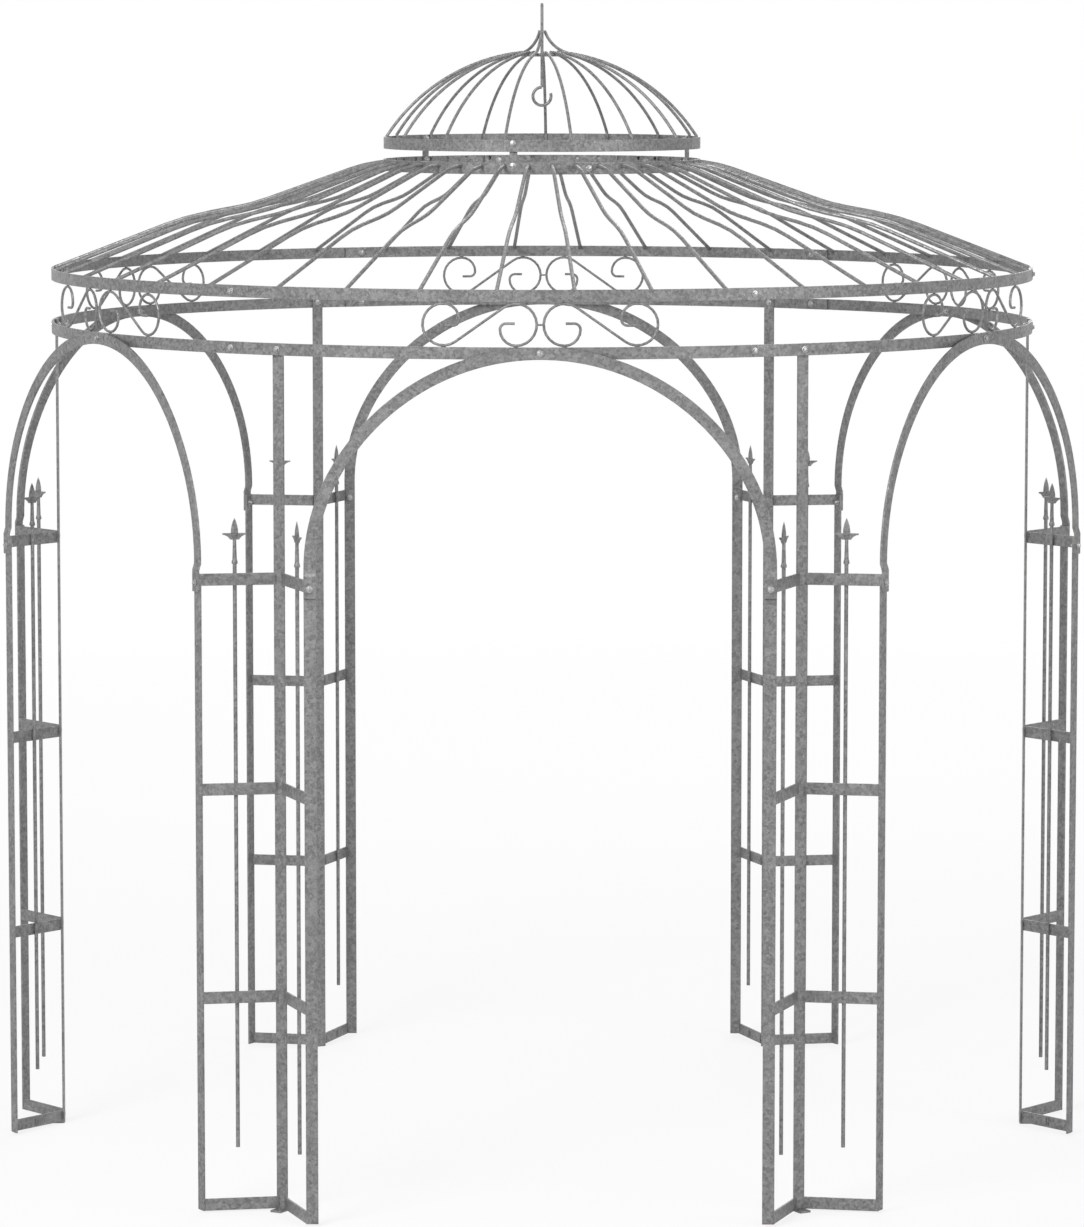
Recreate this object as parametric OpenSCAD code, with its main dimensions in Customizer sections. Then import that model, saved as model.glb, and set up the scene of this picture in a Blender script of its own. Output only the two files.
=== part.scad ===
/* [Plan] */
// Outside radius of the two large rings
ring_r = 1300; // [1000:10:1700]
// Half the span of a doorway, middle of the side to the middle of its post
half_span = 563; // [430:1:620]

/* [Heights] */
// Top of the pillar frames
pillar_h = 1605; // [1200:10:1900]
// Height at which the curve of an arch begins
arch_spring_z = 1630; // [1200:5:1950]
// Underside of the lower ring
lower_ring_z = 2143; // [1900:1:2800]
// Clear height between the lower and the upper ring
frieze_h = 110; // [90:1:150]
// Drop of the roof from the crown ring to the upper ring
roof_drop = 281; // [200:1:420]
// Clear height between the crown ring and the dome ring
lantern_h = 28; // [15:1:80]
// Rise of the dome ribs above their straight feet
dome_rise = 223; // [150:1:300]
// Length of the finial above the collar
finial_h = 72; // [30:1:150]

/* [Steel sections] */
// Width of the flat bar
flat_w = 30; // [20:1:40]
// Thickness of the flat bar
flat_t = 5; // [3:0.5:8]
// Width of the flat struts under the dome
strut_w = 20; // [12:1:30]
// Diameter of the spear rods
spear_d = 10; // [6:1:14]
// Diameter of the roof rods
roof_rod_d = 10; // [6:1:12]
// Diameter of the scroll bar
scroll_d = 7; // [5:0.5:10]
// Diameter of the dome ribs
rib_d = 8; // [5:0.5:10]
// Diameter of the finial rod
finial_d = 8; // [6:0.5:10]

/* [Pillars] */
// Number of gaps between the rungs of a wing
rung_gaps = 3; // [2:1:5]
// Distance of the spear rod from the wing post
spear_from_post = 84; // [50:1:110]
// Height of the lower end of the spear rod
spear_foot_z = 163; // [40:1:400]
// Height of the spear above the top rung
spear_rise = 137; // [120:1:220]
// Width of the crossbar of the spear
spear_bar_w = 60; // [36:1:80]
// Length of the foot plate
foot_plate_l = 30; // [24:1:60]
// Diameter of the anchor hole in the foot plate
anchor_hole_d = 9; // [7:0.5:14]

/* [Arches] */
// Radius of the sides of an arch, on the middle of the bar
arch_side_r = 480; // [380:5:520]
// Length of the foot of an arch that laps over its post
arch_lap = 45; // [36:1:70]
// Height of the step above the lap
joggle_h = 16; // [10:1:30]

/* [Scrolls] */
// Distance between the two loops of one scroll
loop_pitch = 178; // [150:1:220]
// Distance from the middle of the side to the first loop
first_loop_x = 59; // [56:1:80]
// Radius of the wide turn of a curl
curl_r = 39; // [30:1:42]
// Radius of the tight turn of a curl
curl_eye_r = 15; // [10:1:20]
// Length of the straight tail inside a curl
curl_tail = 21; // [8:1:26]

/* [Roof] */
// Outside radius of the crown ring and of the dome ring
crown_r = 420; // [340:5:520]
// Number of roof rods in each of the six panels
rods_per_panel = 7; // [4:1:9]
// Angle between two roof rods of a panel
rod_step = 8.43; // [5:0.01:9.5]
// Length over which two ring segments lap
ring_lap = 100; // [60:1:140]
// Number of dome ribs in each third of the dome
ribs_per_third = 5; // [3:1:7]
// Radius of the small ring under the top of the dome
apex_ring_r = 58; // [45:1:90]
// Radius of the reverse curve that sweeps up to the collar
ogee_r = 90; // [70:1:120]
// Radius of the hanging hook, on the middle of the bar
hook_r = 24; // [16:1:36]
// Length of the finial rod between the collar and the hook
hook_drop = 144; // [90:1:180]

/* [Fits] */
// Gap between pieces that are bolted or welded to each other
seat_gap = 0.3; // [0.1:0.1:0.6]
// Diameter of the bolt holes
bolt_hole_d = 7; // [5:0.5:9]
// Gap round a roof rod in its hole in the crown ring
rod_hole_gap = 0.5; // [0.3:0.1:1]

/* [Hidden] */
$fn = 48;
SIDES = 6;
side_angle = 360 / SIDES;

// Depth to which a welded bar sinks into its neighbour
weld = 0.5;
// Extra radius of the bead where two runs of a bar meet
bead = 0.15;

// Height of the ends of the roof rods above the lower edge of the crown ring
crown_rod_rise = 22;
// Run over which the end of a ring segment steps inwards
step_run = 6;

// Places in plan
post_face_r = ring_r - flat_t - seat_gap;
wall_in = ring_r + seat_gap;
wall_out = wall_in + flat_t;
post_edge_x = half_span + flat_w / 2;

// Heights
frame_z = flat_t;
foot_z = frame_z + seat_gap;
rung_step = (pillar_h - foot_z - flat_w) / rung_gaps;
lower_ring_top = lower_ring_z + flat_w;
upper_ring_z = lower_ring_top + frieze_h;
roof_foot_z = upper_ring_z + flat_w - roof_rod_d / 2;
crown_rod_z = roof_foot_z + roof_drop;
crown_z = crown_rod_z - crown_rod_rise;
crown_top = crown_z + flat_w;
dome_ring_z = crown_top + lantern_h;
dome_ring_top = dome_ring_z + flat_w;

// Wing plates: inner face through wing_corner, outer face through post_corner
wing_corner = [post_edge_x, -wall_in];
post_normal = [sin(side_angle / 2), -cos(side_angle / 2)];
post_tangent = [cos(side_angle / 2), sin(side_angle / 2)];
post_corner = post_normal * post_face_r - post_tangent * flat_w / 2;
wing_chord = post_corner - wing_corner;
wing_angle = atan2(wing_chord.y, wing_chord.x) - asin(flat_t / norm(wing_chord));
wing_dir = [cos(wing_angle), sin(wing_angle)];
wing_left = [-wing_dir.y, wing_dir.x];
spear_at = wing_corner + wing_left * (flat_t + spear_d / 2 - weld) + wing_dir * spear_from_post;

// Spear head
bead_r = spear_d / 2 + 2.5;
bead_h = 5;
bead_cone_h = 7;
sleeve_h = 36;
neck_h = 12;
bar_h = 16;
bar_t = 6;
bar_tip_t = 3.5;
bar_tip_run = 3;
bar_hollow_r = 25.5;
blade_h = 38;
blade_half_w = 9;
blade_half_t = 3.2;

// Arch: three arcs on the middle of the bar
arch_rise = lower_ring_top - flat_w / 2 - arch_spring_z;
arch_top_r = (half_span ^ 2 + arch_rise ^ 2 - 2 * half_span * arch_side_r)
    / (2 * (arch_rise - arch_side_r));
arch_side_angle = atan2(arch_top_r - arch_rise, half_span - arch_side_r);
arch_joggle_z = arch_spring_z - joggle_h;
arch_foot_z = pillar_h - arch_lap;
arch_bolt_z = pillar_h - arch_lap / 2;

// Scrolls
loop_r = (frieze_h - 2 * seat_gap - scroll_d) / 2;
loop_steps = 14;
curl_steps = 5;
scroll_sides = 8;
loop_tangent = asin(2 * loop_r / loop_pitch);
scroll_x = first_loop_x + loop_pitch / 2;
scroll_angle = asin(scroll_x / (ring_r - flat_t / 2));
scroll_plane = sqrt((ring_r - flat_t / 2) ^ 2 - (loop_pitch / 2) ^ 2);
scroll_weld_r = norm([scroll_plane, loop_pitch / 2 + loop_r]);
frieze_mid_z = lower_ring_top + frieze_h / 2;

// Ring joints: angle from the middle of a side
joint_past_rod = 1.05;
crown_joint_angle = 11.5;
crown_lap = 80;
first_rod = -side_angle / 2;
last_rod = first_rod + (rods_per_panel - 1) * rod_step;
joint_angle = last_rod + joint_past_rod;

// Roof rods: share of the run, share of the drop
roof_curve = [[0, 1], [0.065, 0.975], [0.405, 0.595], [0.605, 0.477], [1, 0]];
roof_bends = [0, 300, 600, 600, 0];
bend_steps = 2;
rod_sides = 10;
roof_in = crown_r - flat_t / 2;
roof_out = ring_r - flat_t / 2;
roof_path = [for (p = roof_curve)
    [roof_in + p.x * (roof_out - roof_in), roof_foot_z + p.y * roof_drop]];

// Dome: ribs lie on a circle about the axis
rib_foot_rise = 3;
rib_foot_low = 2;
rib_foot_r = crown_r - flat_t - rib_d / 2 + weld;
rib_r = (rib_foot_r ^ 2 + dome_rise ^ 2) / (2 * dome_rise);
rib_foot_z = dome_ring_top + rib_foot_rise;
rib_centre_z = rib_foot_z + dome_rise - rib_r;
rib_foot_angle = acos(rib_foot_r / rib_r);
apex_angle = acos((apex_ring_r - rib_d / 2) / rib_r);
apex_ring_z = rib_centre_z + rib_r * sin(apex_angle) - rib_d + 2 * weld;
first_rib = 10.8;
rib_step = 120 / ribs_per_third;
collar_d = 21;
collar_h = 6;
collar_bore_d = finial_d + 2 * seat_gap;
ogee_end_angle = 20;
ogee_end_r = (finial_d + rib_d) / 2 + seat_gap;
ogee_x = ogee_end_r + ogee_r * cos(ogee_end_angle);
ogee_tangent = acos(ogee_x / (rib_r + ogee_r));
ogee_z = rib_centre_z + (rib_r + ogee_r) * sin(ogee_tangent);
collar_z = ogee_z - ogee_r * sin(ogee_end_angle) - collar_h / 2;
finial_top = collar_z + collar_h + finial_h;
hook_top = collar_z - hook_drop;
hook_end_angle = 380;
first_strut = -10.1;
strut_bolt_drop = 9;

// ---- helpers ----

function unit(v) = v / norm(v);
function left_of(v) = [-v.y, v.x];
function turn_of(a, b) = atan2(a.x * b.y - a.y * b.x, a * b);
// Where the line through p along u meets the line n * q = c
function hit(p, u, n, c) = p + u * ((c - n * p) / (n * u));

// Round bar along an arc in the XY plane
module arc_rod(d, r, from, to) {
    rotate([0, 0, from]) rotate_extrude(angle = to - from) translate([r, 0]) circle(d = d);
}

// Round bar from one point to another in the XY plane
module straight_rod(d, from, to) {
    way = to - from;
    translate([from.x, from.y, 0])
        rotate([0, 0, atan2(way.y, way.x)])
        rotate([0, 90, 0])
        cylinder(d = d, h = norm(way));
}

// Bead that joins two runs of a round bar
module knuckle(d, at) {
    translate([at.x, at.y, 0]) sphere(r = d / 2 + bead);
}

// Points along a polyline bent to a radius at each inner point
function bend_points(points, bends, steps) = let (
    last = len(points) - 1,
    dirs = [for (i = [0:last - 1]) unit(points[i + 1] - points[i])])
    concat([points[0]],
        [for (i = [1:last - 1]) let (
            turn = turn_of(dirs[i - 1], dirs[i]),
            start = points[i] - dirs[i - 1] * bends[i] * tan(abs(turn) / 2),
            arm = left_of(dirs[i - 1]) * sign(turn) * bends[i],
            centre = start + arm)
            for (j = [0:steps]) let (a = turn * j / steps)
                centre - [arm.x * cos(a) - arm.y * sin(a), arm.x * sin(a) + arm.y * cos(a)]],
        [points[last]]);

// Round bar along a path in the XY plane, with flat sides
module bent_rod(d, path, sides) {
    last = len(path) - 1;
    turns = [for (j = [0:sides - 1]) 360 * (j + 0.5) / sides];
    function across(i) = left_of(unit(path[min(i + 1, last)] - path[max(i - 1, 0)])) * d / 2;
    polyhedron(
        points = [for (i = [0:last], a = turns)
            [path[i].x + across(i).x * cos(a), path[i].y + across(i).y * cos(a), d / 2 * sin(a)]],
        faces = concat(
            [[for (j = [0:sides - 1]) j]],
            [[for (j = [sides - 1:-1:0]) last * sides + j]],
            [for (i = [0:last - 1], j = [0:sides - 1])
                let (a = i * sides + j, b = i * sides + (j + 1) % sides) [a, a + sides, b + sides]],
            [for (i = [0:last - 1], j = [0:sides - 1])
                let (a = i * sides + j, b = i * sides + (j + 1) % sides) [a, b + sides, b]]));
}

// Turn something drawn for the front side (-Y) to side k
module at_side(k) {
    rotate([0, 0, side_angle * (k - 1)]) children();
}

// Upright band between two angles, measured from -Y
module band(r, t, h, from, to) {
    rotate([0, 0, from - 90])
        rotate_extrude(angle = to - from, $fn = 180)
        translate([r - t, 0])
        square([t, h]);
}

// Bolt hole through a band or plate, pointing away from the axis at one angle
module radial_hole(angle, r, z) {
    rotate([0, 0, angle - 90])
        translate([r - 3 * flat_t, 0, z])
        rotate([0, 90, 0])
        cylinder(d = bolt_hole_d, h = 6 * flat_t);
}

// One segment of a bolted ring with its joggled tongue behind the next segment
module ring_segment(r, joint, lap) {
    lap_angle = lap / r * 180 / PI;
    gap_angle = seat_gap / r * 180 / PI;
    step_angle = step_run / r * 180 / PI;
    tongue_r = r - flat_t - seat_gap;
    difference() {
        union() {
            band(r, flat_t, flat_w, joint - side_angle + gap_angle, joint);
            band(tongue_r, flat_t, flat_w, joint - step_angle, joint + lap_angle);
            band(r - flat_t / 2, flat_t, flat_w, joint - step_angle, joint);
        }
        radial_hole(joint + lap_angle / 2, r, flat_w / 2);
        radial_hole(joint + lap_angle / 2 - side_angle, r, flat_w / 2);
    }
}

// ---- pillars ----

// Upright on the inside of the lower ring, with the foot plate for the anchor
module corner_post(k) {
    plate_l = foot_plate_l + flat_t;
    color("darkgray") at_side(k) rotate([0, 0, side_angle / 2]) difference() {
        union() {
            translate([-flat_w / 2, -post_face_r, frame_z])
                cube([flat_w, flat_t, lower_ring_top - frame_z]);
            translate([-flat_w / 2, -post_face_r - foot_plate_l, 0])
                cube([flat_w, plate_l, frame_z]);
        }
        translate([0, -post_face_r - foot_plate_l / 2, -1])
            cylinder(d = anchor_hole_d, h = frame_z + 2);
        radial_hole(0, ring_r, lower_ring_z + flat_w / 2);
    }
}

// Plan of one rung: a flat bar between the corner post and the wing post
module rung_plan() {
    near = wing_corner;
    far = wing_corner + wing_left * flat_t;
    polygon([
        hit(near, wing_dir, [0, 1], -wall_in),
        hit(far, wing_dir, [0, 1], -wall_in),
        hit(far, wing_dir, post_normal, post_face_r + seat_gap),
        hit(near, wing_dir, post_normal, post_face_r + seat_gap)]);
}

// Cast spear: sleeve with a bead, neck, crossbar and leaf blade
module spear() {
    rod_r = spear_d / 2;
    neck_r = rod_r - 0.5;
    top_z = pillar_h + spear_rise;
    bar_z = top_z - blade_h;
    flare_z = bar_z - bar_h;
    neck_z = flare_z - neck_h;
    sleeve_z = neck_z - sleeve_h;
    cone_z = sleeve_z - bead_h - bead_cone_h;
    translate([0, 0, spear_foot_z]) cylinder(d = spear_d, h = cone_z - spear_foot_z + 1);
    translate([0, 0, cone_z]) cylinder(r = bead_r, h = bead_h);
    translate([0, 0, cone_z + bead_h]) cylinder(r1 = bead_r, r2 = rod_r + 0.5, h = bead_cone_h);
    translate([0, 0, sleeve_z]) cylinder(r1 = rod_r + 0.5, r2 = neck_r, h = sleeve_h);
    translate([0, 0, neck_z]) cylinder(r = neck_r, h = neck_h);
    translate([0, 0, flare_z]) cylinder(r1 = neck_r, r2 = rod_r + 4, h = bar_h - 2);
    // Crossbar: flat on top, two hollow curves below
    translate([0, bar_t / 2, bar_z]) rotate([90, 0, 0]) linear_extrude(bar_t) difference() {
        translate([-spear_bar_w / 2, -bar_h]) square([spear_bar_w, bar_h]);
        for (s = [-1, 1])
            translate([s * (spear_bar_w / 2 + bar_tip_run), -bar_tip_t - bar_hollow_r])
            circle(r = bar_hollow_r, $fn = 64);
    }
    // Leaf blade: a pointed arch from the front, thinner from the side
    translate([0, 0, bar_z - 1]) intersection() {
        translate([0, blade_half_w, 0]) rotate([90, 0, 0])
            linear_extrude(2 * blade_half_w) blade_outline(blade_half_w, blade_h + 1);
        translate([-blade_half_w, 0, 0]) rotate([90, 0, 90])
            linear_extrude(2 * blade_half_w) blade_outline(blade_half_t, blade_h + 1);
    }
}

// Pointed arch of two arcs, standing on the X axis
module blade_outline(half, h) {
    r = (half ^ 2 + h ^ 2) / (2 * half);
    intersection() {
        translate([half - r, 0]) circle(r = r, $fn = 120);
        translate([r - half, 0]) circle(r = r, $fn = 120);
        translate([-half, 0]) square([2 * half, h]);
    }
}

// Ladder of flat bar at the right-hand end of a side
module wing() {
    difference() {
        union() {
            translate([half_span - flat_w / 2, -wall_out, foot_z])
                cube([flat_w, flat_t, pillar_h - foot_z]);
            for (i = [0:rung_gaps])
                translate([0, 0, foot_z + i * rung_step]) linear_extrude(flat_w) rung_plan();
        }
        translate([half_span, 0, arch_bolt_z]) rotate([90, 0, 0])
            cylinder(d = bolt_hole_d, h = wall_out + flat_t);
    }
    translate([spear_at.x, spear_at.y, 0]) rotate([0, 0, wing_angle]) spear();
}

module wing_right(k) {
    color("darkgray") at_side(k) wing();
}

module wing_left(k) {
    color("darkgray") at_side(k) mirror([1, 0, 0]) wing();
}

// ---- arches ----

// Region under a three-centred curve that lies `out` beyond the middle of the bar
module arch_region(out) {
    top_y = arch_spring_z + arch_rise - arch_top_r;
    reach = 2 * arch_top_r;
    for (s = [-1, 1])
        translate([s * (half_span - arch_side_r), arch_spring_z]) circle(r = arch_side_r + out);
    intersection() {
        translate([0, top_y]) circle(r = arch_top_r + out);
        translate([0, top_y]) polygon([
            [0, 0],
            reach * [cos(arch_side_angle), sin(arch_side_angle)],
            [0, 2 * reach],
            reach * [-cos(arch_side_angle), sin(arch_side_angle)]]);
    }
}

// Flat bar bent edgewise above the spring line
module arch_bow() {
    linear_extrude(flat_t) difference() {
        arch_region(flat_w / 2);
        arch_region(-flat_w / 2);
        translate([-ring_r, -ring_r]) square([2 * ring_r, ring_r + arch_spring_z]);
    }
}

// Leg with its step outwards and the foot that laps over the post
module arch_leg() {
    lap_in = wall_out + seat_gap;
    lap_out = lap_in + flat_t;
    translate([half_span - flat_w / 2, 0, 0]) rotate([90, 0, 90]) linear_extrude(flat_w) polygon([
        [-wall_in, arch_spring_z], [-wall_out, arch_spring_z],
        [-lap_out, arch_joggle_z], [-lap_out, arch_foot_z],
        [-lap_in, arch_foot_z], [-lap_in, arch_joggle_z]]);
}

module arch(k) {
    color("darkgray") at_side(k) difference() {
        union() {
            translate([0, -wall_in, 0]) rotate([90, 0, 0]) arch_bow();
            arch_leg();
            mirror([1, 0, 0]) arch_leg();
        }
        for (s = [-1, 1]) translate([s * half_span, -wall_in, arch_bolt_z])
            rotate([90, 0, 0]) cylinder(d = bolt_hole_d, h = 6 * flat_t);
        radial_hole(0, ring_r, lower_ring_z + flat_w / 2);
    }
}

// ---- rings and scrolls ----

module lower_ring(k) {
    color("gray") at_side(k) difference() {
        translate([0, 0, lower_ring_z]) ring_segment(ring_r, joint_angle, ring_lap);
        radial_hole(0, ring_r, lower_ring_z + flat_w / 2);
        radial_hole(-side_angle / 2, ring_r, lower_ring_z + flat_w / 2);
    }
}

// Points on an arc in the XY plane, its first one left out
function arc_points(centre, r, from, to, steps) =
    [for (j = [1:steps]) let (a = from + (to - from) * j / steps) centre + r * [cos(a), sin(a)]];

// One end of a scroll from its slanting bar: loop, curl, eye and tail
function half_scroll() = let (
    loop_x = loop_pitch / 2,
    curl_y = curl_r - loop_r,
    eye_x = loop_x - curl_r + curl_eye_r,
    loop_start = 90 + loop_tangent)
    concat(
        [[loop_x, 0] + loop_r * [cos(loop_start), sin(loop_start)]],
        arc_points([loop_x, 0], loop_r, loop_start, -90, loop_steps),
        arc_points([loop_x, curl_y], curl_r, 270, 180, curl_steps),
        arc_points([eye_x, curl_y], curl_eye_r, 180, 90, curl_steps),
        [[eye_x + curl_tail, curl_y + curl_eye_r]]);

module scroll() {
    half = half_scroll();
    last = len(half) - 1;
    path = concat([for (i = [last:-1:0]) -half[i]], half);
    translate([0, -scroll_plane, frieze_mid_z]) rotate([90, 0, 0])
        bent_rod(scroll_d, path, scroll_sides);
}

module scroll_pair(k) {
    color("dimgray") at_side(k) {
        for (s = [0, 1]) mirror([s, 0, 0]) rotate([0, 0, -scroll_angle]) scroll();
        // Weld between the two scrolls
        translate([-first_loop_x + loop_r, -scroll_weld_r, frieze_mid_z])
            rotate([0, 90, 0])
            cylinder(d = scroll_d - 2, h = 2 * (first_loop_x - loop_r));
    }
}

// ---- roof ----

module roof_rod() {
    rotate([90, 0, 0])
        bent_rod(roof_rod_d, bend_points(roof_path, roof_bends, bend_steps), rod_sides);
}

module roof_panel(k) {
    color("gray") at_side(k) {
        translate([0, 0, upper_ring_z]) ring_segment(ring_r, joint_angle, ring_lap);
        for (i = [0:rods_per_panel - 1])
            rotate([0, 0, first_rod + i * rod_step - 90]) roof_rod();
    }
}

// Bolt holes of the three struts near the top edge of a ring
module strut_holes(top) {
    for (i = [0:2]) radial_hole(first_strut + 120 * i, crown_r, top - strut_bolt_drop);
}

module crown_ring() {
    first = roof_path[0];
    way = roof_path[1] - first;
    color("gray") difference() {
        for (k = [1:SIDES]) at_side(k)
            translate([0, 0, crown_z]) ring_segment(crown_r, crown_joint_angle, crown_lap);
        for (k = [1:SIDES], i = [0:rods_per_panel - 1])
            at_side(k) rotate([0, 0, first_rod + i * rod_step - 90])
                translate([first.x, 0, first.y])
                rotate([0, 90 - atan2(way.y, way.x), 0])
                translate([0, 0, -3 * flat_t])
                cylinder(d = roof_rod_d + 2 * rod_hole_gap, h = 6 * flat_t);
        strut_holes(crown_top);
    }
}

module dome_struts() {
    strut_face_r = crown_r - flat_t - seat_gap;
    color("darkgray") difference() {
        for (i = [0:2]) rotate([0, 0, first_strut + 120 * i])
            translate([-strut_w / 2, -strut_face_r, crown_z])
            cube([strut_w, flat_t, dome_ring_top - crown_z]);
        strut_holes(crown_top);
        strut_holes(dome_ring_top);
    }
}

// ---- dome ----

// Rib from the inside of the dome ring up to an angle of its circle
module rib(top_angle) {
    foot = [rib_foot_r, rib_foot_z];
    translate([0, rib_centre_z, 0]) arc_rod(rib_d, rib_r, rib_foot_angle, top_angle);
    knuckle(rib_d, foot);
    straight_rod(rib_d, [foot.x, dome_ring_z + rib_foot_low], foot);
}

// Rib that sweeps on up to the collar
module long_rib() {
    rib(ogee_tangent);
    translate([ogee_x, ogee_z, 0])
        arc_rod(rib_d, ogee_r, 180 + ogee_end_angle, 180 + ogee_tangent);
    knuckle(rib_d, rib_r * [cos(ogee_tangent), sin(ogee_tangent)] + [0, rib_centre_z]);
}

module dome() {
    color("gray") {
        difference() {
            translate([0, 0, dome_ring_z]) band(crown_r, flat_t, flat_w, 0, 360);
            strut_holes(dome_ring_top);
        }
        for (i = [0:2], j = [1:ribs_per_third])
            rotate([0, 0, first_rib + 120 * i + rib_step * (j - 1) - 90]) rotate([90, 0, 0]) {
                if (j == ribs_per_third) long_rib();
                else rib(apex_angle);
            }
        translate([0, 0, apex_ring_z]) arc_rod(rib_d, apex_ring_r, 0, 360);
        translate([0, 0, collar_z]) difference() {
            cylinder(d = collar_d, h = collar_h);
            translate([0, 0, -1]) cylinder(d = collar_bore_d, h = collar_h + 2);
        }
    }
}

module finial() {
    color("darkgray") {
        translate([0, 0, hook_top]) cylinder(d = finial_d, h = finial_top - hook_top - finial_d / 2);
        translate([0, 0, finial_top - finial_d / 2]) sphere(d = finial_d);
        translate([0, 0, hook_top - hook_r]) rotate([90, 0, 0])
            arc_rod(finial_d, hook_r, 90, hook_end_angle);
    }
}

for (k = [1:SIDES]) {
    corner_post(k);
    wing_left(k);
    wing_right(k);
    arch(k);
    lower_ring(k);
    scroll_pair(k);
    roof_panel(k);
}
crown_ring();
dome_struts();
dome();
finial();
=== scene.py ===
from math import asin, cos, degrees, pi, radians, sin, sqrt

import bmesh
import bpy
from mathutils import Matrix, Vector


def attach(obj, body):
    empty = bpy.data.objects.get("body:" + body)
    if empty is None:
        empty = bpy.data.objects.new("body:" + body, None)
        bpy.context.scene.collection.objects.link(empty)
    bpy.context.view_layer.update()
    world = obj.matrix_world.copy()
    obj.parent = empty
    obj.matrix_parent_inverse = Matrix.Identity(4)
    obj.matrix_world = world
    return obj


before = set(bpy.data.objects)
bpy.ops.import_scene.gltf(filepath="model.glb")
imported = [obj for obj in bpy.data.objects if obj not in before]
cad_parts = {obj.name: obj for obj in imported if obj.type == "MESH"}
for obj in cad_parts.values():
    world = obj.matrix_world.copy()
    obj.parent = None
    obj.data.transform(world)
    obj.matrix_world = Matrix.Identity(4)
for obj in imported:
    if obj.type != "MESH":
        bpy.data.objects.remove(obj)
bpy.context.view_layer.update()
print("frame loaded:", len(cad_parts), "nodes")

scene = bpy.context.scene
scene.view_settings.view_transform = "Standard"
mm = 0.001

# sizes of the steelwork, in millimetres, as the frame has them
steel = {
    "sides": 6,
    "ringRadius": 1300.0,
    "crownRadius": 420.0,
    "flatWidth": 30.0,
    "flatThickness": 5.0,
    "seatGap": 0.3,
    "halfSpan": 563.0,
    "pillarTop": 1605.0,
    "archLap": 45.0,
    "lowerRingFoot": 2143.0,
    "friezeHeight": 110.0,
    "crownFoot": 2567.0,
    "crownRodHeight": 2589.0,
    "domeRingFoot": 2625.0,
    "roofRodDiameter": 10.0,
    "ribDiameter": 8.0,
    "scrollDiameter": 7.0,
    "spearDiameter": 10.0,
}
sideAngle = 360.0 / steel["sides"]
wallInside = steel["ringRadius"] + steel["seatGap"]
wallOutside = wallInside + steel["flatThickness"]
lapOutside = wallOutside + steel["seatGap"] + steel["flatThickness"]
innerLap = 2 * steel["flatThickness"] + steel["seatGap"]  # two bars and the gap between them
lowerRingMiddle = steel["lowerRingFoot"] + steel["flatWidth"] / 2
upperRingFoot = steel["lowerRingFoot"] + steel["flatWidth"] + steel["friezeHeight"]
upperRingMiddle = upperRingFoot + steel["flatWidth"] / 2
friezeMiddle = steel["lowerRingFoot"] + steel["flatWidth"] + steel["friezeHeight"] / 2
crownTop = steel["crownFoot"] + steel["flatWidth"]
domeRingTop = steel["domeRingFoot"] + steel["flatWidth"]


# ---- camera ----

cameraSettings = {
    "place": (0.0495, -14.901, 2.983),
    "pitch": 6.1274,  # degrees below level
    "yaw": 0.1903,
    "lens": 185.97,
}


def makeCamera(settings):
    data = bpy.data.cameras.new("camera")
    data.sensor_fit = "HORIZONTAL"
    data.sensor_width = 36.0
    data.lens = settings["lens"]
    data.clip_end = 500.0
    camera = bpy.data.objects.new("camera", data)
    camera.location = settings["place"]
    camera.rotation_euler = (radians(90 - settings["pitch"]), 0, radians(settings["yaw"]))
    scene.collection.objects.link(camera)
    scene.camera = camera


makeCamera(cameraSettings)


# ---- materials ----

def hexToLinear(code):
    channels = [int(code[i:i + 2], 16) / 255 for i in (1, 3, 5)]
    linear = [c / 12.92 if c <= 0.04045 else ((c + 0.055) / 1.055) ** 2.4 for c in channels]
    return (*linear, 1.0)


def addNode(tree, kind, settings, links=()):
    # a name in lower case is a property of the node, any other is one of its sockets
    node = tree.nodes.new(kind)
    for name, value in settings.items():
        if isinstance(name, str) and name[0].islower():
            setattr(node, name, value)
        else:
            node.inputs[name].default_value = value
    for name, source in links:
        tree.links.new(source, node.inputs[name])
    return node


def startMaterial(name):
    material = bpy.data.materials.new(name)
    material.use_nodes = True
    tree = material.node_tree
    tree.nodes.clear()
    return material, tree


# Hot-dip galvanised steel: dipped in molten zinc, which sets in crystals (spangle) and dulls
# to a matt grey. The eye sees light and dark flecks, soft clouds and brighter rubbed edges.
galvanisedFlat = {
    "dull": "#5f5f5f",
    "bright": "#8f8f8f",
    "rubbed": "#a6a6a6",
    "spangle": 8.0,  # crystal width in mm
    "flake": 5.0,  # frost inside a crystal
    "cloud": 140.0,  # patches of patina
    "metallic": 0.45,
    "smooth": 0.42,
    "rough": 0.62,
    "relief": 0.35,
}
# The same bath on round bar, which drains better: finer crystals and a little smoother.
galvanisedRod = dict(galvanisedFlat, spangle=7.0, flake=4.0, cloud=110.0, dull="#5c5c5c",
                     smooth=0.38, rough=0.56, relief=0.25)
# Weld under the same zinc: rippled, duller and darker where soot and flux sat.
galvanisedWeld = dict(galvanisedFlat, spangle=6.0, flake=1.6, cloud=40.0, dull="#4a4a4a",
                      bright="#7f7f7f", rubbed="#909090", smooth=0.5, rough=0.7, relief=0.8)
# Zinc-plated fasteners: turned and rolled, smoother and lighter than the bars.
platedFastener = dict(galvanisedFlat, spangle=3.0, flake=1.0, cloud=25.0, dull="#7c7c7c",
                      bright="#c4c4c4", rubbed="#d6d6d6", metallic=0.7, smooth=0.28,
                      rough=0.42, relief=0.15)


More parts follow.
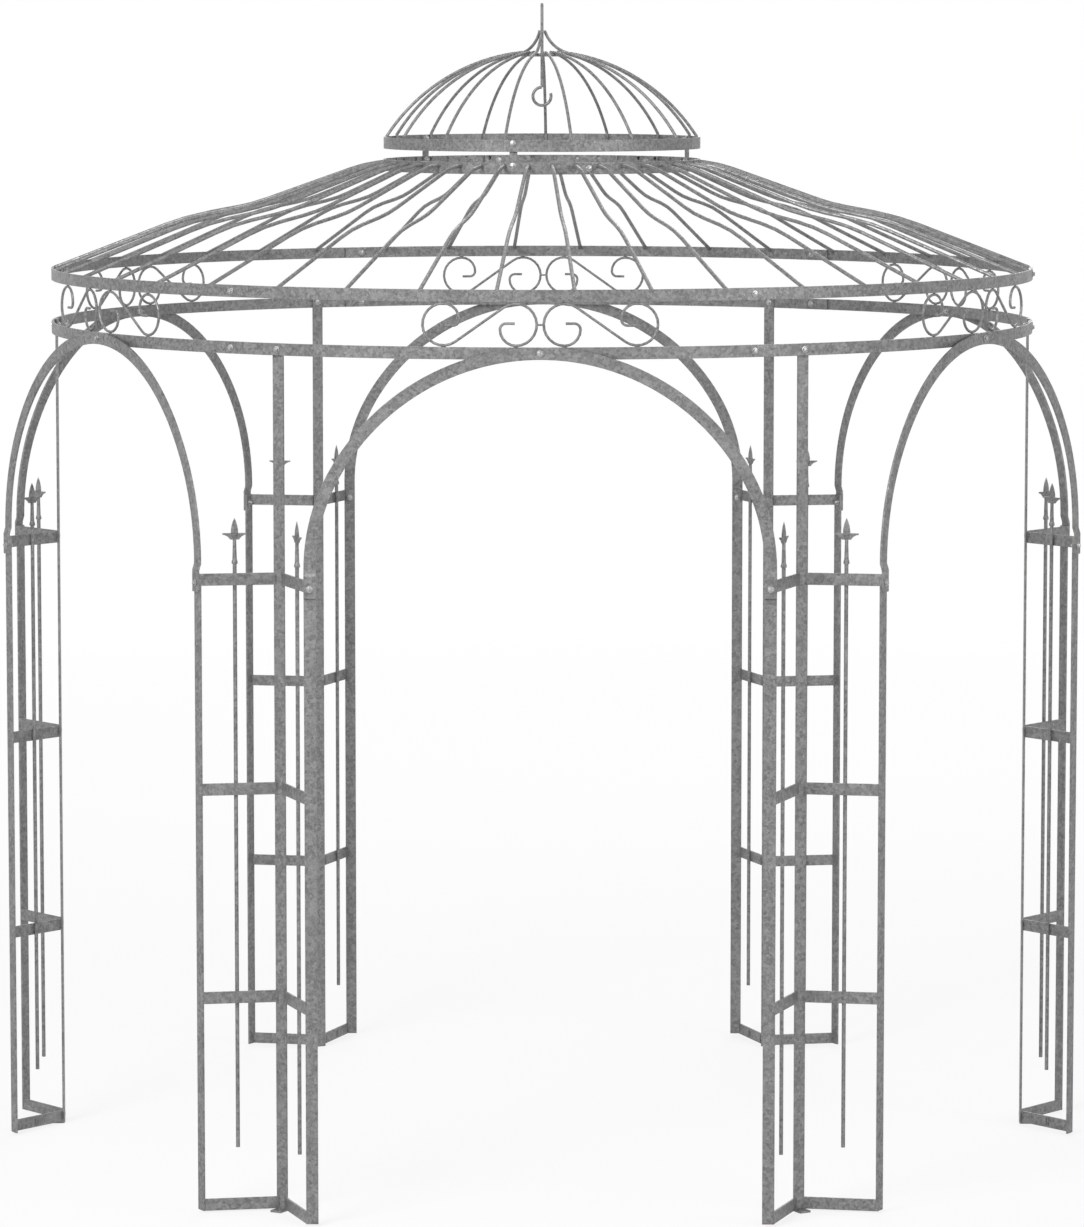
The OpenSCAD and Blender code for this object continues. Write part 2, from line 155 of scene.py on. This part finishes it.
def makeZinc(name, zinc):
    material, tree = startMaterial(name)
    place = addNode(tree, "ShaderNodeTexCoord", {}).outputs["Object"]

    # crystals with slightly ragged borders
    ragged = addNode(tree, "ShaderNodeTexNoise", {"Scale": 1 / (zinc["flake"] * mm), "Detail": 2.0},
                     [("Vector", place)])
    shifted = addNode(tree, "ShaderNodeVectorMath", {
        "operation": "MULTIPLY_ADD", 1: (zinc["spangle"] * mm * 0.35,) * 3},
        [(0, ragged.outputs["Color"]), (2, place)])
    crystal = addNode(tree, "ShaderNodeTexVoronoi", {"Scale": 1 / (zinc["spangle"] * mm)},
                      [("Vector", shifted.outputs[0])])
    tone = addNode(tree, "ShaderNodeSeparateColor", {}, [("Color", crystal.outputs["Color"])])
    frost = addNode(tree, "ShaderNodeTexNoise", {
        "Scale": 1 / (zinc["flake"] * mm), "Detail": 3.0, "Roughness": 0.6}, [("Vector", place)])
    cloud = addNode(tree, "ShaderNodeTexNoise", {
        "Scale": 1 / (zinc["cloud"] * mm), "Detail": 4.0, "Roughness": 0.55}, [("Vector", place)])

    # shares of the three patterns in the tone
    frostShare = addNode(tree, "ShaderNodeMath", {"operation": "MULTIPLY_ADD", 1: 1.5, 2: -0.75},
                         [(0, frost.outputs[0])])
    cloudShare = addNode(tree, "ShaderNodeMath", {"operation": "MULTIPLY_ADD", 1: 0.6, 2: -0.3},
                         [(0, cloud.outputs[0])])
    crystalShare = addNode(tree, "ShaderNodeMath", {"operation": "MULTIPLY_ADD", 1: 0.6, 2: 0.2},
                           [(0, tone.outputs[0])])
    fine = addNode(tree, "ShaderNodeMath", {"operation": "ADD"},
                   [(0, crystalShare.outputs[0]), (1, frostShare.outputs[0])])
    mixed = addNode(tree, "ShaderNodeMath", {"operation": "ADD", "use_clamp": True},
                    [(0, fine.outputs[0]), (1, cloudShare.outputs[0])])
    body = addNode(tree, "ShaderNodeMix", {
        "data_type": "RGBA", 6: hexToLinear(zinc["dull"]), 7: hexToLinear(zinc["bright"])},
        [(0, mixed.outputs[0])])

    # rubbed edges: where a rounded normal leaves the flat one
    rounded = addNode(tree, "ShaderNodeBevel", {"samples": 4, "Radius": 1.4 * mm})
    flat = addNode(tree, "ShaderNodeNewGeometry", {})
    facing = addNode(tree, "ShaderNodeVectorMath", {"operation": "DOT_PRODUCT"},
                     [(0, rounded.outputs[0]), (1, flat.outputs["Normal"])])
    edge = addNode(tree, "ShaderNodeMapRange", {
        "From Min": 0.995, "From Max": 0.80, "To Min": 0.0, "To Max": 0.6},
        [("Value", facing.outputs["Value"])])
    worn = addNode(tree, "ShaderNodeMath", {"operation": "MULTIPLY"},
                   [(0, edge.outputs[0]), (1, frost.outputs[0])])
    colour = addNode(tree, "ShaderNodeMix", {"data_type": "RGBA", 7: hexToLinear(zinc["rubbed"])},
                     [(0, worn.outputs[0]), (6, body.outputs[2])])

    roughness = addNode(tree, "ShaderNodeMapRange", {
        "To Min": zinc["smooth"], "To Max": zinc["rough"]}, [("Value", tone.outputs[1])])
    height = addNode(tree, "ShaderNodeMath", {"operation": "MULTIPLY_ADD", 1: 0.6},
                     [(0, frost.outputs[0]), (2, crystal.outputs["Distance"])])
    bump = addNode(tree, "ShaderNodeBump", {"Strength": zinc["relief"], "Distance": 0.4 * mm},
                   [("Height", height.outputs[0]), ("Normal", rounded.outputs[0])])
    shader = addNode(tree, "ShaderNodeBsdfPrincipled", {"Metallic": zinc["metallic"]},
                     [("Base Color", colour.outputs[2]), ("Roughness", roughness.outputs[0]),
                      ("Normal", bump.outputs[0])])
    addNode(tree, "ShaderNodeOutputMaterial", {}, [("Surface", shader.outputs[0])])
    return material


zincFlat = makeZinc("galvanisedFlatBar", galvanisedFlat)
zincRod = makeZinc("galvanisedRoundBar", galvanisedRod)
zincWeld = makeZinc("galvanisedWeld", galvanisedWeld)
zincPlate = makeZinc("zincPlatedFastener", platedFastener)

rodNodes = ("scroll_pair", "roof_panel", "dome", "finial")
for name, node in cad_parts.items():
    isRound = name.startswith(rodNodes) and name != "dome_struts"
    node.data.materials.clear()
    node.data.materials.append(zincRod if isRound else zincFlat)
print("materials assigned")


# ---- fittings ----

def finishPiece(name, mesh, material, sharpAngle=35.0):
    bmesh.ops.recalc_face_normals(mesh, faces=mesh.faces)
    data = bpy.data.meshes.new(name)
    mesh.to_mesh(data)
    mesh.free()
    for face in data.polygons:
        face.use_smooth = True
    data.set_sharp_from_angle(angle=radians(sharpAngle))
    data.materials.append(material)
    piece = bpy.data.objects.new(name, data)
    scene.collection.objects.link(piece)
    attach(piece, "root")
    return piece


def facingOut(angle, radius, height, across=0.0):
    # local +Z points away from the axis, local +Y up; angle is counted from the front
    turn = Matrix.Rotation(radians(angle), 4, "Z")
    place = Matrix.Translation((across * mm, -radius * mm, height * mm))
    return turn @ place @ Matrix.Rotation(radians(90), 4, "X")


def addDisc(mesh, radius, depth, low, segments, edge, matrix, turn=0.0):
    # prism or disc from low upwards, with its rims bevelled
    made = bmesh.ops.create_cone(
        mesh, cap_ends=True, segments=segments, radius1=radius * mm, radius2=radius * mm,
        depth=depth * mm, matrix=matrix @ Matrix.Translation((0, 0, (low + depth / 2) * mm))
        @ Matrix.Rotation(radians(turn), 4, "Z"))
    if edge:
        rims = {e for v in made["verts"] for e in v.link_edges
                if len(e.link_faces) == 2 and max(len(f.verts) for f in e.link_faces) == segments
                and min(len(f.verts) for f in e.link_faces) == 4}
        bmesh.ops.bevel(mesh, geom=list(rims), offset=edge * mm, offset_type="OFFSET",
                        affect="EDGES", segments=2, profile=0.5, material=-1)


bolt = {
    "headAcross": 10.0,  # hexagon over its flats
    "headHeight": 4.6,
    "nutHeight": 5.0,
    "washerRadius": 8.5,  # large washer
    "washerHeight": 1.6,
    "shankRadius": 3.0,
    "tail": 3.0,
}


def addBolt(mesh, angle, outside, grip, height, across=0.0, spin=0.0):
    hexRadius = bolt["headAcross"] / sqrt(3)
    outer = facingOut(angle, outside, height, across)
    inner = facingOut(angle, outside - grip, height, across) @ Matrix.Rotation(pi, 4, "X")
    washer, head, nut = bolt["washerHeight"], bolt["headHeight"], bolt["nutHeight"]
    addDisc(mesh, bolt["washerRadius"], washer, 0.0, 20, 0.25, outer)
    addDisc(mesh, hexRadius, head, washer, 6, 0.6, outer, spin)
    addDisc(mesh, bolt["washerRadius"], washer, 0.0, 20, 0.25, inner)
    addDisc(mesh, hexRadius, nut, washer, 6, 0.6, inner, spin + 17)
    tail = washer + nut + bolt["tail"]
    addDisc(mesh, bolt["shankRadius"], tail + grip, -grip, 12, 0.5, inner)


def makeBolts():
    sides = range(steel["sides"])
    footHeight = steel["pillarTop"] - steel["archLap"] / 2
    mesh = bmesh.new()
    for k in sides:
        for way in (-1, 1):
            addBolt(mesh, sideAngle * k, lapOutside, lapOutside - wallInside, footHeight,
                    way * steel["halfSpan"], 11 + 23 * k + 9 * way)
    finishPiece("bolts_arch_feet", mesh, zincPlate)

    ringRadius = steel["ringRadius"]
    lapAngle = degrees(100.0 / ringRadius)
    jointAngle = 21.63 + lapAngle / 2
    mesh = bmesh.new()
    for k in sides:
        addBolt(mesh, sideAngle * k, wallOutside, innerLap, lowerRingMiddle, 0, 7 * k)
        addBolt(mesh, sideAngle * (k + 0.5), ringRadius, innerLap, lowerRingMiddle, 0, 19 * k)
        for height in (lowerRingMiddle, upperRingMiddle):
            addBolt(mesh, sideAngle * k + jointAngle, ringRadius, innerLap, height, 0, 31 * k)
    finishPiece("bolts_large_rings", mesh, zincPlate)

    crownRadius = steel["crownRadius"]
    crownJoint = 11.5 + degrees(80.0 / crownRadius) / 2
    mesh = bmesh.new()
    for k in sides:
        addBolt(mesh, sideAngle * k + crownJoint, crownRadius, innerLap,
                steel["crownFoot"] + steel["flatWidth"] / 2, 0, 13 * k)
    for k in range(3):
        for top in (crownTop, domeRingTop):
            addBolt(mesh, -10.1 + 120 * k, crownRadius, innerLap, top - 9, 0, 21 * k)
    finishPiece("bolts_small_rings", mesh, zincPlate)


makeBolts()
print("bolts made")


# ---- welds ----

def addBead(mesh, place, half, turn=None):
    # squashed ball with a few ripples; half holds its three half lengths in mm
    scale = Matrix.Diagonal((*[h * mm for h in half], 1.0))
    base = Matrix.Translation(place * mm) @ (turn or Matrix.Identity(4))
    made = bmesh.ops.create_uvsphere(mesh, u_segments=10, v_segments=8, radius=1.0)
    for vert in made["verts"]:
        ripple = 1 + 0.12 * sin(9 * vert.co.z + place.x) * sqrt(max(0.0, 1 - vert.co.z ** 2))
        vert.co.x *= ripple
        vert.co.y *= ripple
    bmesh.ops.transform(mesh, matrix=base @ scale, verts=made["verts"])


def aroundAxis(angle, point):
    return Matrix.Rotation(radians(angle), 4, "Z") @ Vector(point)


def makePillarWelds():
    t, w, gap = steel["flatThickness"], steel["flatWidth"], steel["seatGap"]
    corner = Vector((steel["halfSpan"] + w / 2, -wallInside))
    normal = Vector((sin(radians(sideAngle / 2)), -cos(radians(sideAngle / 2))))
    tangent = Vector((-normal.y, normal.x))
    face = steel["ringRadius"] - t - gap
    target = normal * face - tangent * w / 2
    chord = target - corner
    heading = chord.angle_signed(Vector((1, 0))) - asin(t / chord.length)
    way = Vector((cos(heading), sin(heading)))
    left = Vector((-way.y, way.x))
    foot = t + gap
    step = (steel["pillarTop"] - foot - w) / 3
    spear = corner + left * (t + steel["spearDiameter"] / 2 - 0.5) + way * 84
    reach = spear - left * (steel["spearDiameter"] / 2 - 0.5)
    mesh = bmesh.new()
    for k in range(steel["sides"]):
        for mirrored in (1, -1):
            for i in range(4):
                z = foot + i * step + w / 2
                spots = [
                    (corner + left * t * 0.3 - way * 0.5, (2.2, 2.2, 14.0)),
                    (target + left * t - way * 1.0, (2.0, 2.0, 13.0)),
                    (reach + way * 4.2, (2.0, 2.0, 11.0)),
                    (reach - way * 4.2, (2.0, 2.0, 11.0)),
                ]
                for spot, half in spots:
                    at = Vector((mirrored * spot.x, spot.y, z))
                    addBead(mesh, aroundAxis(sideAngle * k, at), half)
        at = Vector((0, -face, t))
        addBead(mesh, aroundAxis(sideAngle * (k + 0.5), at), (13.0, 2.4, 2.4),
                Matrix.Rotation(radians(sideAngle * (k + 0.5)), 4, "Z"))
    finishPiece("welds_pillars", mesh, zincWeld)


def makeFriezeWelds():
    ring = steel["ringRadius"] - steel["flatThickness"] / 2
    pitch, first = 178.0, 59.0
    loop = (steel["friezeHeight"] - 2 * steel["seatGap"] - steel["scrollDiameter"]) / 2
    plane = sqrt(ring ** 2 - (pitch / 2) ** 2)
    angle = degrees(asin((first + pitch / 2) / ring))
    edge = loop + steel["scrollDiameter"] / 2
    mesh = bmesh.new()
    for k in range(steel["sides"]):
        for way in (-1, 1):
            turn = sideAngle * k + way * angle
            for x in (-pitch / 2, pitch / 2):
                for up in (-1, 1):
                    at = Vector((x, -plane, friezeMiddle + up * edge))
                    addBead(mesh, aroundAxis(turn, at), (6.0, 2.6, 2.2),
                            Matrix.Rotation(radians(turn), 4, "Z"))
    finishPiece("welds_frieze", mesh, zincWeld)


def rodAngles():
    return [sideAngle * k - 30 + 8.43 * i for k in range(steel["sides"]) for i in range(7)]


def makeRoofWelds():
    rod = steel["roofRodDiameter"] / 2
    seat = upperRingFoot + steel["flatWidth"] - rod
    mesh = bmesh.new()
    for angle in rodAngles():
        inside = Vector((0, -(steel["ringRadius"] - steel["flatThickness"]), seat))
        outside = Vector((0, -steel["crownRadius"], steel["crownRodHeight"]))
        turn = Matrix.Rotation(radians(angle), 4, "Z")
        addBead(mesh, aroundAxis(angle, inside), (rod + 2.2, 2.4, rod + 1.2), turn)
        addBead(mesh, aroundAxis(angle, outside), (rod + 1.8, 1.8, rod + 1.8), turn)
    finishPiece("welds_roof", mesh, zincWeld)


def makeDomeWelds():
    rib = steel["ribDiameter"] / 2
    face = steel["crownRadius"] - steel["flatThickness"]
    middle = steel["domeRingFoot"] + steel["flatWidth"] / 2
    mesh = bmesh.new()
    for k in range(15):
        angle = 10.8 + 24 * k
        turn = Matrix.Rotation(radians(angle), 4, "Z")
        for way in (-1, 1):
            at = Vector((way * (rib - 0.6), -(face - 0.6), middle))
            addBead(mesh, aroundAxis(angle, at), (1.9, 1.9, 12.0), turn)
    finishPiece("welds_dome", mesh, zincWeld)


makePillarWelds()
makeFriezeWelds()
makeRoofWelds()
makeDomeWelds()
print("welds made")


# ---- studio ----

studio = {
    "floor": "#e6e6e6",
    "floorSize": 400.0,
    "floorWhite": 0.8,  # share of plain white that the camera sees in the floor
    "world": "#ffffff",
    "worldLight": 0.5,
    "lamps": [
        # name, place, aim, size in metres, power in watts
        ("keyLamp", (-5.5, -9.0, 8.0), (0, 0, 1.5), 5.0, 1000.0),
        ("fillLamp", (8.0, -7.0, 5.0), (0, 0, 1.5), 6.0, 350.0),
        ("backLamp", (1.0, 9.0, 7.0), (0, 0, 1.8), 6.0, 350.0),
    ],
}


def seenDirectly(tree):
    # 1 for camera, glossy and transmission rays
    path = addNode(tree, "ShaderNodeLightPath", {})
    first = addNode(tree, "ShaderNodeMath", {"operation": "MAXIMUM"},
                    [(0, path.outputs["Is Camera Ray"]), (1, path.outputs["Is Glossy Ray"])])
    both = addNode(tree, "ShaderNodeMath", {"operation": "MAXIMUM"},
                   [(0, first.outputs[0]), (1, path.outputs["Is Transmission Ray"])])
    return both.outputs[0]


def makeFloor():
    material, tree = startMaterial("palePaintedFloor")
    paint = addNode(tree, "ShaderNodeBsdfDiffuse", {"Color": hexToLinear(studio["floor"])})
    white = addNode(tree, "ShaderNodeEmission", {"Color": (1, 1, 1, 1), "Strength": 1.0})
    place = addNode(tree, "ShaderNodeTexCoord", {}).outputs["Object"]
    reach = addNode(tree, "ShaderNodeVectorMath", {"operation": "LENGTH"}, [(0, place)])
    spread = addNode(tree, "ShaderNodeMapRange", {
        "From Min": 3.0, "From Max": 12.0, "To Min": studio["floorWhite"], "To Max": 1.0},
        [("Value", reach.outputs["Value"])])
    share = addNode(tree, "ShaderNodeMath", {"operation": "MULTIPLY"},
                    [(0, seenDirectly(tree)), (1, spread.outputs[0])])
    mix = addNode(tree, "ShaderNodeMixShader", {},
                  [(0, share.outputs[0]), (1, paint.outputs[0]), (2, white.outputs[0])])
    addNode(tree, "ShaderNodeOutputMaterial", {}, [("Surface", mix.outputs[0])])
    mesh = bmesh.new()
    bmesh.ops.create_grid(mesh, x_segments=2, y_segments=2, size=studio["floorSize"] / 2)
    data = bpy.data.meshes.new("floor")
    mesh.to_mesh(data)
    mesh.free()
    data.materials.append(material)
    floor = bpy.data.objects.new("floor", data)
    floor.location.z = -0.0005  # just clear of the foot plates
    scene.collection.objects.link(floor)


def makeWorld():
    world = bpy.data.worlds.new("studioWorld")
    scene.world = world
    world.use_nodes = True
    tree = world.node_tree
    tree.nodes.clear()
    strength = addNode(tree, "ShaderNodeMapRange", {
        "To Min": studio["worldLight"], "To Max": 1.0}, [("Value", seenDirectly(tree))])
    background = addNode(tree, "ShaderNodeBackground", {"Color": hexToLinear(studio["world"])},
                         [("Strength", strength.outputs[0])])
    addNode(tree, "ShaderNodeOutputWorld", {}, [("Surface", background.outputs[0])])


def makeLamps():
    for name, place, aim, size, power in studio["lamps"]:
        data = bpy.data.lights.new(name, "AREA")
        data.shape = "DISK"
        data.size = size
        data.energy = power
        lamp = bpy.data.objects.new(name, data)
        lamp.location = place
        lamp.rotation_euler = (Vector(aim) - Vector(place)).to_track_quat("-Z", "Y").to_euler()
        scene.collection.objects.link(lamp)


makeFloor()
makeWorld()
makeLamps()
print("studio made")
